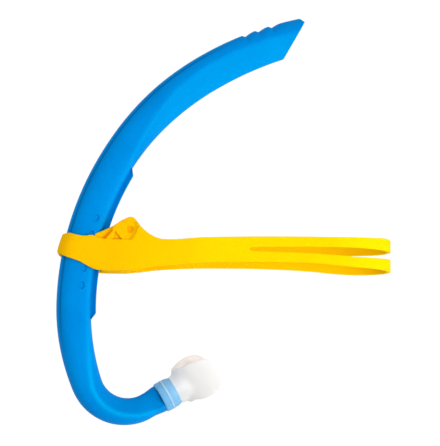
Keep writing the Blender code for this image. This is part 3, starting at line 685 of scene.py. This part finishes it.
def band_mesh(name, rings, rows):
    """Mesh of a band, with painted shade, a deeper yellow, on its inner face, the first rows of every ring.
    """
    mesh = rings_mesh(name, rings)
    deep_shade, = new_marks(mesh, "deep_shade")
    for index, mark in enumerate(deep_shade):
        mark.value = 1.0 if index % len(rings[0]) <= rows else 0.0
    return mesh


def make_front_band():
    last = BAND_END - arc_x(0.0, 0.0) + FRONT_TURN
    half = steps(0.0, FRONT_TURN, 60) + steps(FRONT_TURN, 100.0, 120)[1:] + steps(100.0, last, 70)[1:]
    rings, rows = [], 14
    for u in [-v for v in reversed(half[1:])] + half:
        x = collar_place(u)[0]
        thickness = BAND_THICKNESS - ARM_THINNER * smooth((x - 20) / 60) + FRONT_THICKER * front_share(u)
        rings.append(band_ring(collar_inner, u, along(BAND_BOTTOM, x), along(BAND_TOP, x), thickness, rows))
    new_piece("bracket_band", band_mesh("bracket_band", rings, rows), YELLOW, "headgear",
              ("tube_collar", "strap_side_left", "strap_side_right"))


def loop_place(u):
    """(x, side) along the rear loop; u is 0 at the left end and 1 at the middle of the rear bend."""
    straight = (LOOP_WIDEST - BAND_END) / (LOOP_WIDEST - BAND_END + BEND_PATH)
    mirrored = u > 1
    v = 2 - u if mirrored else u
    if v < straight:
        x = BAND_END + (LOOP_WIDEST - BAND_END) * v / straight
        side = along(ARM_SIDE, x)
    else:
        angle = math.pi / 2 * (1 - (v - straight) / (1 - straight))
        x = LOOP_WIDEST + LOOP_END * math.cos(angle)
        side = ARM_SIDE[-1][1] * math.sin(angle)
    return x, -side if mirrored else side


def loop_inner(u, z):
    """Inner face of a rear band; u here counts the loop's parts."""
    x, side = loop_place(u / LOOP_PARTS)
    return x, side, z


def make_rear_band(name, top, bottom, node):
    start, end = REAR_THICKENS
    rings, rows = [], 8
    for u in steps(0.0, 2 * LOOP_PARTS, 320):
        x = loop_place(u / LOOP_PARTS)[0]
        thickness = REAR_BAND_THICKNESS + REAR_THICKER * smooth((x - start) / (end - start))
        rings.append(band_ring(loop_inner, u, along(bottom, x), along(top, x), thickness, rows))
    obj = new_piece(name, band_mesh(name, rings, rows), YELLOW, None, (node,))
    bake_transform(obj)


# ---- mouthpiece ----
MOUTH_ROLL = 12.0
SHIELD_PITCH = 4.0  # the shield leans up from the neck
SLEEVE_OUTER = (
    (0.0, 14.7), (0.4, 15.1), (1.4, 16.0), (2.2, 16.15), (7.6, 16.1), (8.1, 16.4), (8.6, 16.65), (9.1, 16.4),
    (9.6, 16.05), (13.4, 15.95), (15.2, 15.4), (16.6, 14.9), (18.0, 14.85), (19.6, 15.2), (21.4, 15.6),
    (23.6, 16.0), (25.6, 16.8), (27.6, 18.6))
WING_LIFT, WING_SAG = 1.3, 1.9
SHIELD_START, SHIELD_DEPTH, SHIELD_HALF_WIDTH = 27.0, 39.0, 31.0
SHIELD_HALF_HEIGHT = 19.5
SHIELD_REACH = 88.6  # how many degrees round the shield runs to either side
SHIELD_PIVOT = 20.0
NECK_FLARE = 0.32  # how much the neck widens sideways into the wings
NECK_END = 29.5
SLEEVE_INNER = ((NECK_END, 11.5), (18.3, 11.5), (18.1, 14.1), (0.3, 14.1))
MOUTH_VOXEL, MOUTH_ROUNDS, NECK_ROUNDS = 0.45, 8, 220
BITE_TABS = (  # (x, y and z spans) of a tab's stem and its plate, on one side
    ((47.5, 57.0), (16.0, 26.6), (-2.2, 2.2)), ((41.0, 60.0), (14.6, 17.4), (-6.0, 6.0)))


def shield_x(y):
    """Where the shield's inner face stands, before its pitch, at distances y from the middle."""
    return SHIELD_START + SHIELD_DEPTH * (1 - np.sqrt(np.clip(1 - (y / SHIELD_HALF_WIDTH) ** 2, 0, 1)))


def add_sleeve(bm, outline, count=64):
    """Revolves the sleeve's outline, flaring its neck into the shield."""
    rings = []
    for k in range(count):
        turn = 2 * math.pi * k / count
        ring = []
        for x, radius in outline:
            y = radius * math.cos(turn) * (1 + NECK_FLARE * smooth((x - 19.0) / 10.5))
            lean = smooth((x - 22.0) / 5.0) * (shield_x(y) - SHIELD_START)
            ring.append(bm.verts.new(Vector((x + lean, y, radius * math.sin(turn))) * MM))
        rings.append(ring)
    join_rings(bm, rings, loop_back=True)


def oval_normal(turn, depth, half_width):
    return Vector((-math.cos(turn) / depth, math.sin(turn) / half_width, 0)).normalized()


def add_shield(bm):
    """The curved shield: one face from bottom to top, then the other back down, with soft edges."""
    rows = []
    up = steps(-math.pi / 2, math.pi / 2, 16)
    down = steps(math.pi / 2, -math.pi / 2, 16)
    for angle in steps(-SHIELD_REACH, SHIELD_REACH, 60):
        turn, aside = math.radians(angle), abs(angle / 90)
        x = SHIELD_START + SHIELD_DEPTH * (1 - math.cos(turn))
        side = SHIELD_HALF_WIDTH * math.sin(turn)
        above = SHIELD_HALF_HEIGHT * (1 - aside ** 5) ** 0.45 + WING_LIFT * smooth((abs(angle) - 20) / 50)
        below = SHIELD_HALF_HEIGHT * (1 - aside ** 9) ** 0.45 + WING_SAG * smooth((abs(angle) - 22) / 35)
        normal = oval_normal(turn, SHIELD_DEPTH, SHIELD_HALF_WIDTH)
        thickness = 2.0 - 0.5 * aside
        row = []
        for face, places in ((0.5, up), (-0.5, down)):
            for t in places:
                z = (above if t > 0 else below) * math.sin(t)
                edge = min(1.0, math.cos(t) * 3.0 + 0.25)
                point = Vector((x, side, z)) + normal * thickness * (0.5 + face * edge)
                row.append(bm.verts.new(point * MM))
        rows.append(row)
    join_rings(bm, rows)


def add_bite_tabs(bm):
    for side in (-1, 1):
        for spans in BITE_TABS:
            size = [(high - low) * MM for low, high in spans]
            middle = [(high + low) / 2 for low, high in spans]
            middle[1] *= side
            matrix = Matrix.Translation(Vector(middle) * MM) @ Matrix.Diagonal((*size, 1.0))
            made = bmesh.ops.create_cube(bm, size=1.0, matrix=matrix)
            edges = {edge for vertex in made["verts"] for edge in vertex.link_edges}
            bmesh.ops.bevel(bm, geom=list(edges), offset=1.0 * MM, segments=3, affect="EDGES", profile=0.5)


def mouth_parts():
    """Overlapping closed solids of the mouthpiece, in its own frame: x along the spigot, z up."""
    bm = bmesh.new()
    add_sleeve(bm, SLEEVE_OUTER + ((NECK_END, 18.6),) + SLEEVE_INNER)
    add_shield(bm)
    add_bite_tabs(bm)
    pivot = Vector((SHIELD_PIVOT, 0.0, 0.0)) * MM
    for vertex in bm.verts:
        lift = math.radians(SHIELD_PITCH) * smooth((vertex.co.x / MM - 19.0) / 9.0)
        vertex.co = pivot + Matrix.Rotation(-lift, 3, "Y") @ (vertex.co - pivot)
    bmesh.ops.recalc_face_normals(bm, faces=bm.faces)
    return finished_mesh(bm, "mouth_parts")


def applied(obj):
    """Applies an object's modifiers and returns its mesh."""
    graph = bpy.context.evaluated_depsgraph_get()
    mesh = bpy.data.meshes.new_from_object(obj.evaluated_get(graph))
    obj.modifiers.clear()
    obj.data = mesh
    return mesh


def fuse(obj, voxel, rounds):
    """Fuses overlapping solids into one skin and softens its edges."""
    remesh = obj.modifiers.new("fuse", "REMESH")
    remesh.mode = "VOXEL"
    remesh.voxel_size = voxel * MM
    soften = obj.modifiers.new("soften", "SMOOTH")
    soften.factor = 0.5
    soften.iterations = rounds
    bpy.context.view_layer.update()
    mesh = applied(obj)
    mesh.materials.clear()
    return mesh


def soften_neck(mesh, rounds):
    """Evens out the crease where the neck meets the shield's front face."""
    places = np.empty(len(mesh.vertices) * 3)
    mesh.vertices.foreach_get("co", places)
    places = places.reshape(-1, 3) / MM
    edges = np.empty(len(mesh.edges) * 2, dtype=int)
    mesh.edges.foreach_get("vertices", edges)
    one, two = edges.reshape(-1, 2).T
    total = len(places)
    count = np.bincount(one, minlength=total) + np.bincount(two, minlength=total)
    x, y, z = places.T
    share = 1.0
    for fade in ((x - 20.5) / 4, (shield_x(y) + 1.2 - x) / 0.6, (np.hypot(y, z) - 12.8) / 1.2,
                 (29.0 - np.abs(y)) / 3.0, (SHIELD_HALF_HEIGHT - 0.4 - np.abs(z)) / 1.2):
        share = share * np.clip(fade, 0, 1)
    for _ in range(rounds):
        sums = [np.bincount(one, places[two, k], total) + np.bincount(two, places[one, k], total)
                for k in range(3)]
        places += (np.stack(sums, axis=1) / count[:, None] - places) * 0.7 * share[:, None]
    mesh.vertices.foreach_set("co", (places * MM).ravel())
    mesh.update()


def mark_mouthpiece(mesh):
    """Marks where the tube shows through and a faint blue-grey on the neck, paints shade on the wings and the
    lower neck, and tints the far wing a darker pink-grey.
    """
    over_tube, far_wing_tint, shade = new_marks(mesh, "over_tube", "far_wing_tint", "shade")
    for index, vertex in enumerate(mesh.vertices):
        x, y, z = (c / MM for c in vertex.co)
        sleeve = 1 - smooth((x - 17.2) / 1.4)
        near = 0.86 * (1 - smooth((x - 7.6) / 1.2)) + 0.80 * smooth((x - 8.2) / 1.0) * sleeve
        # a faint blue-grey darkening of the neck past the tube's end
        neck = 0.08 * (1 - sleeve) * (1 - smooth((x - 22.0) / 9.0))
        over_tube[index].value = near * (1 if math.hypot(y, z) < 17.5 else 0) + neck
        # painted shade: on the wings, more at their outer edge, and on the lower neck
        outer = smooth((x - 25.0) / 10.0)
        low = smooth((3.0 - z) / 9.0)
        shade[index].value = (0.46 + 0.24 * smooth((x - 38.0) / 10.0)) * outer + low * (1 - outer)
        # a darker pink-grey on the far wing
        far_wing_tint[index].value = 0.7 * smooth((y - 6.0) / 10.0) * smooth((x - 30.0) / 6.0)


def make_mouthpiece():
    """Sleeve, shield and bite tabs, fused into one skin and turned onto the tube's spigot."""
    obj = placed("mouthpiece_body", mouth_parts())
    mesh = fuse(obj, MOUTH_VOXEL, MOUTH_ROUNDS)
    soften_neck(mesh, NECK_ROUNDS)
    mark_mouthpiece(mesh)
    x, _, z = tube_point(SPIGOT_LENGTH, 0.0, 0.0)
    tilt = Matrix.Rotation(math.radians(-SPIGOT_TILT), 4, "Y")
    roll = Matrix.Rotation(math.radians(MOUTH_ROLL), 4, "X")
    mesh.transform(Matrix.Translation((x * MM, 0.0, z * MM)) @ (tilt @ roll))
    mesh.materials.append(SILICONE)
    mesh.shade_smooth()
    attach(obj, "mouthpiece")
    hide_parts("mouthpiece")


# ---- bracket core ----
def cut_out(target, name, mesh):
    """Cuts a mesh's shape out of a solid."""
    cutter = placed(name, mesh)
    modifier = target.modifiers.new(name, "BOOLEAN")
    modifier.operation = "DIFFERENCE"
    modifier.solver = "EXACT"
    modifier.object = cutter
    bpy.context.view_layer.update()
    applied(target)
    bpy.data.objects.remove(cutter)


CORE_TOP = (
    (-42.0, 10.8), (-35.0, 13.0), (-29.4, 14.9), (-25.0, 16.6), (-22.6, 18.6), (-21.0, 20.0), (-17.5, 21.6),
    (-14.7, 23.6), (-10.5, 26.4), (-6.0, 28.6), (-3.5, 29.8), (-1.0, 30.4), (1.8, 30.0), (3.6, 28.8),
    (6.3, 25.5), (9.5, 21.4), (12.6, 17.6), (19, 12.0), (26, 8.0), (31, 6.2))
CORE_BOTTOM = (
    (-42.0, -20.0), (-36.0, -22.4), (-31.4, -24.4), (-28.0, -25.0), (-21.0, -25.4), (-6.5, -25.7),
    (-3.0, -25.3), (0.0, -24.6), (10, -23.8), (20, -23.0), (31, -21.8))
KEEL = (  # the rounded underside along its middle
    (-36.0, -21.0), (-34.0, -23.4), (-31.0, -25.4), (-28.0, -26.6), (-21.0, -27.4), (-6.5, -27.6),
    (-3.0, -27.2), (0.5, -26.0))
CORE_FRONT = -27.4  # how far behind the tube's centreline the spacer starts
CORE_WALL = 2.2
CORE_SIDE = 12.2  # half width of the top and front walls
CORE_VOXEL, CORE_ROUNDS = 0.42, 5
WEB_SIDE, WEB_REAR = 1.7, 0.5  # half thickness of the middle web, and the X it runs back to
FRONT_WALL, FRONT_LEVELS = 2.6, (-23.5, 16.0)
SLAB_FRONT = -31.6  # the underside starts clear of the rail
PLATE_SPAN, PLATE_SIDES = (-20.0, 9.0), (12.4, 14.6)
CHEEK_SIDE, CHEEK_OUTS = 11.6, (-8.2, -28.5)  # the cheeks run along the tube's sides between these outs
CHEEK_GAP, CHEEK_INNERMOST = 0.35, 7.0
TUBE_SET_BACK = 0.7  # how far the visible tube stands behind the slide's centreline here
RAMP_EDGE = (  # (X, Z) where the block rises to the arm
    (1.2, 5.0), (3.3, 9.5), (5.5, 14.0), (7.6, 19.0), (6.4, 24.0))
RAMP_RUN, RAMP_ROOT, RAMP_FOOT, RAMP_HEIGHT = 5.0, 9.5, 14.3, 17.0
PAD_REACH, PAD_HALF_WIDTH, PAD_THICKNESS, PAD_TURN = 31.0, 15.0, 1.9, 83
FIN, FIN_SIDES = ((-29.4, 4.0), (-22.2, 4.0), (-16.0, 17.4), (-18.0, 17.2)), (8.6, 14.7)
POCKETS = (  # corners in X and Z
    ((-20.6, 3.0), (-10.0, 3.0), (-10.4, 6.6), (-13.0, 9.8), (-17.4, 15.2)),
    ((-5.4, 15.2), (-4.4, 13.4), (-1.6, 12.8), (1.0, 14.4), (2.0, 17.0), (1.2, 19.4), (-1.4, 20.4),
     (-4.4, 18.8)))
POCKET_CUT = 20.0
POCKET_FLOORS = (  # (X and Z spans, distance from the middle plane)
    ((-22.0, -8.5, 2.0, 17.5), 11.8), ((-7.5, 4.0, 11.5, 22.5), 13.3))
FLOOR_ROOT = 4.0


def side_face(out):
    """How far the tube's side stands from its middle plane along the slide stretch."""
    depth, width = along(HALF_DEPTH, DIMPLE_MIDDLE), along(HALF_WIDTH, DIMPLE_MIDDLE)
    exponent = along(SQUARENESS, DIMPLE_MIDDLE)
    share = 1 - (abs(out) / depth) ** exponent
    return width * share ** (1 / exponent) if share > 0 else 0.0


def prism(corners, low, high):
    """Rings of a prism with (X, Z) corners between two Y values."""
    return [[(x, level, z) for x, z in corners] for level in (low, high)]


def side_prism(corners, side, reach):
    """The same between two distances from the middle plane, on one side of it."""
    return prism(corners, *sorted((side * reach[0], side * reach[1])))


def spacer_walls():
    """Middle web, top, underside and front wall of the spacer."""
    xs = steps(-26.0, WEB_REAR, 24)
    low, high = FRONT_LEVELS
    front = [(arc_x(CORE_FRONT, z), z) for z in steps(low, high, 10)]
    top = [(x, along(CORE_TOP, x)) for x in xs if x > arc_x(CORE_FRONT, high)]
    bottom = [(x, along(CORE_BOTTOM, x)) for x in reversed(xs)]
    yield prism(front + top + bottom, -WEB_SIDE, WEB_SIDE)
    yield prism(top + [(x, z - CORE_WALL) for x, z in reversed(top)], -CORE_SIDE, CORE_SIDE)
    slab = []
    for x in steps(SLAB_FRONT, WEB_REAR, 24):
        wide, edge, middle = along(ARM_SIDE, x) - 0.1, along(BAND_BOTTOM, x) + 0.5, along(KEEL, x)
        under = [(x, y, edge + (middle - edge) * (1 - (y / wide) ** 2)) for y in steps(-wide, wide, 12)]
        slab.append(under + [(x, wide, edge + CORE_WALL), (x, -wide, edge + CORE_WALL)])
    yield slab
    yield prism(front + [(x + FRONT_WALL, z) for x, z in reversed(front)], -CORE_SIDE, CORE_SIDE)


def side_details(side):
    """Fin, ramp up to the arm and the floors behind the pockets, on one side."""
    yield side_prism(FIN, side, FIN_SIDES)
    foot = [(x - RAMP_RUN, z) for x, z in reversed(RAMP_EDGE)]
    yield [[(x, side * RAMP_ROOT, z) for x, z in (*RAMP_EDGE, *foot)],
           [(x, side * RAMP_HEIGHT, z) for x, z in RAMP_EDGE] + [(x, side * RAMP_FOOT, z) for x, z in foot]]
    for (x0, x1, z0, z1), reach in POCKET_FLOORS:
        yield side_prism([(x0, z0), (x1, z0), (x1, z1), (x0, z1)], side, (FLOOR_ROOT, reach))


def cheek(side):
    """The wall that lies along one side of the tube."""
    rings = []
    for share in steps(0.0, 1.0, 20):
        outer, inner = [], []
        for out in steps(*CHEEK_OUTS, 14):
            x = arc_x(out, 0.0)
            for _ in range(3):  # the height depends on X, and X on the height
                z = along(CORE_BOTTOM, x) * (1 - share) + along(CORE_TOP, x) * share
                x = arc_x(out, z)
            outer.append((x, side * CHEEK_SIDE, z))
            face = max(side_face(out + TUBE_SET_BACK) + CHEEK_GAP, CHEEK_INNERMOST)
            inner.append((x, side * face, z))
        rings.append(outer + list(reversed(inner)))
    return rings


def pad():
    """The curved pad that lies on the forehead."""
    rings = []
    for angle in steps(-PAD_TURN, PAD_TURN, 50):
        turn = math.radians(angle)
        x, y = PAD_REACH * (1 - math.cos(turn)), PAD_HALF_WIDTH * math.sin(turn)
        low, high = along(CORE_BOTTOM, x), along(CORE_TOP, x)
        far = Vector((x, y, 0)) + oval_normal(turn, PAD_REACH, PAD_HALF_WIDTH) * PAD_THICKNESS
        rings.append([(x, y, low), (x, y, high), (far.x, far.y, high), (far.x, far.y, low)])
    return rings


def core_pieces():
    """Closed overlapping solids of the spacer and forehead pad, as lists of rings."""
    yield from spacer_walls()
    for side in (-1, 1):
        yield from side_details(side)
    for side in (-1, 1):
        yield cheek(side)
    yield pad()


def side_plates():
    """The spacer's two side plates with their pockets cut through."""
    xs = steps(*PLATE_SPAN, 20)
    top = [(x, along(CORE_TOP, x) - 0.4) for x in xs]
    bottom = [(x, along(CORE_BOTTOM, x) + 0.5) for x in reversed(xs)]
    plates = []
    for side in (-1, 1):
        plate = placed("plate", rings_mesh("plate", side_prism(top + bottom, side, PLATE_SIDES)))
        for k, corners in enumerate(POCKETS):
            cut_out(plate, f"pocket_{k}", rings_mesh("pocket", prism(corners, -POCKET_CUT, POCKET_CUT)))
        plates.append(plate)
    return plates


def mark_core(mesh):
    """Paints shade, a deeper yellow, under the top, into the hollows, on the front ahead of the fin, at the
    fin's root and at the brow.
    """
    deep_shade, = new_marks(mesh, "deep_shade")
    for vertex, mark in zip(mesh.vertices, deep_shade):
        x, y, z = (c / MM for c in vertex.co)
        # painted shade under the top, in the hollows, ahead of the fin, at its root and at the brow
        under = min(1.0, max(0.0, (along(CORE_TOP, x) - z) / 3.0)) * smooth((z + 18.0) / 6.0)
        inside = smooth((12.0 - abs(y)) / 6.0) * under * (1 if x < 8 else 0)
        hollow_shade = 0.75 * (1 - smooth((math.hypot(x + 1.6, z - 16.8) - 2.8) / 1.8))
        ahead = FIN[0][0] + (z - FIN[0][1]) * 0.87 - x
        shaded = 0.9 * smooth((ahead + 1.0) / 1.5) * (1 - smooth((ahead - 2.5) / 4.5))
        shaded *= smooth((18.0 - z) / 4.0)
        root_shade = 0.55 * math.exp(-((x + 18.0) / 4.0) ** 2 - ((z - 18.8) / 2.0) ** 2)
        brow_shade = 0.55 * math.exp(-((x + 7.5) / 4.0) ** 2 - ((z - 24.8) / 1.4) ** 2)
        outside = max(hollow_shade, root_shade, brow_shade, shaded if z > 4.0 else 0.0) if abs(y) > 9.0 else 0.0
        mark.value = max(inside, outside)


def make_core():
    """Ribbed spacer and forehead pad, fused into one soft-edged moulding."""
    bm = bmesh.new()
    for plate in side_plates():
        bm.from_mesh(plate.data)
        bpy.data.objects.remove(plate)
    for rings in core_pieces():
        piece = rings_mesh("piece", rings)
        bm.from_mesh(piece)
        bpy.data.meshes.remove(piece)
    core = placed("bracket_core", finished_mesh(bm, "bracket_core"))
    mesh = fuse(core, CORE_VOXEL, CORE_ROUNDS)
    mark_core(mesh)
    mesh.materials.append(CORE_YELLOW)
    mesh.shade_smooth()
    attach(core, "headgear")
    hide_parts("spacer_block", "forehead_pad", "rail_slider")


# ---- carried-over CAD nodes ----
def paint_nodes():
    for name in ("detent_nub_left", "detent_nub_right"):
        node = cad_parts[name]
        node.data.materials.clear()
        node.data.materials.append(YELLOW)


# ---- studio ----
CAMERA_AZIMUTH, CAMERA_ELEVATION = -4.0, -8.0
CAMERA_DISTANCE, FAR_LIMIT = 6.0, 50.0
SENSOR_WIDTH = 36.0
FRAME_WIDTH = 0.4607  # metres across the picture at the object
FRAME_CENTRE = (0.0930, -0.0101, 0.0249)
FLOOR_HALF, FLOOR_LEVEL = 12.0, -0.95
WHITE, FLOOR_GREY = (1.0, 1.0, 1.0, 1.0), (0.92, 0.92, 0.92, 1.0)
SKY_LIGHT, SKY_SEEN = 0.66, 1.02  # the world's strength as a light and as the camera sees it
LIGHTS_AIM = (0.05, 0.0, 0.0)


def make_camera():
    azimuth, elevation = math.radians(CAMERA_AZIMUTH), math.radians(CAMERA_ELEVATION)
    look = Vector((-math.sin(azimuth) * math.cos(elevation), math.cos(azimuth) * math.cos(elevation),
                   -math.sin(elevation)))
    data = bpy.data.cameras.new("camera")
    data.sensor_fit = "HORIZONTAL"
    data.sensor_width = SENSOR_WIDTH
    data.lens = SENSOR_WIDTH * CAMERA_DISTANCE / FRAME_WIDTH
    data.clip_end = FAR_LIMIT
    camera = placed("camera", data)
    camera.location = Vector(FRAME_CENTRE) - look * CAMERA_DISTANCE
    camera.rotation_euler = look.to_track_quat("-Z", "Y").to_euler()
    bpy.context.scene.camera = camera


def add_light(name, place, size, watts):
    data = bpy.data.lights.new(name, "AREA")
    data.shape = "RECTANGLE"
    data.size, data.size_y = size
    data.energy = watts
    light = placed(name, data)
    light.location = place
    light.rotation_euler = (Vector(LIGHTS_AIM) - Vector(place)).to_track_quat("-Z", "Y").to_euler()


def make_floor():
    half = FLOOR_HALF
    corners = [(x, y, FLOOR_LEVEL) for x, y in ((-half, -half), (half, -half), (half, half), (-half, half))]
    mesh = bpy.data.meshes.new("floor")
    mesh.from_pydata(corners, [], [(0, 1, 2, 3)])
    floor = placed("floor", mesh)
    nodes = Nodes("pale_floor")
    nodes.put(Roughness=0.8, Base_Color=FLOOR_GREY)
    mesh.materials.append(nodes.mat)


def make_studio():
    """White world, which lights less than the camera sees, and two soft lights."""
    world = bpy.data.worlds.new("studio")
    world.use_nodes = True
    tree = world.node_tree
    back = tree.nodes["Background"]
    seen = tree.nodes.new("ShaderNodeBackground")
    for background, strength in ((back, SKY_LIGHT), (seen, SKY_SEEN)):
        background.inputs["Color"].default_value = WHITE
        background.inputs["Strength"].default_value = strength
    path = tree.nodes.new("ShaderNodeLightPath")
    mixer = tree.nodes.new("ShaderNodeMixShader")
    tree.links.new(path.outputs["Is Camera Ray"], mixer.inputs["Fac"])
    tree.links.new(back.outputs["Background"], mixer.inputs[1])
    tree.links.new(seen.outputs["Background"], mixer.inputs[2])
    tree.links.new(mixer.outputs["Shader"], tree.nodes["World Output"].inputs["Surface"])
    bpy.context.scene.world = world

    add_light("key_low_right", (1.5, -1.3, -0.8), (1.3, 1.3), 42.0)
    add_light("top_fill", (-0.5, -1.5, 1.3), (1.4, 1.0), 6.0)
    settings = bpy.context.scene.view_settings
    settings.view_transform = "Standard"
    settings.look = "None"


def main():
    make_camera()
    make_floor()
    make_studio()
    make_tube()
    make_rail()
    make_front_band()
    make_rear_band("strap_loop_upper", UPPER_TOP, UPPER_BOTTOM, "strap_band_upper")
    make_rear_band("strap_loop_lower", LOWER_TOP, LOWER_BOTTOM, "strap_band_lower")
    make_core()
    make_mouthpiece()
    paint_nodes()


main()
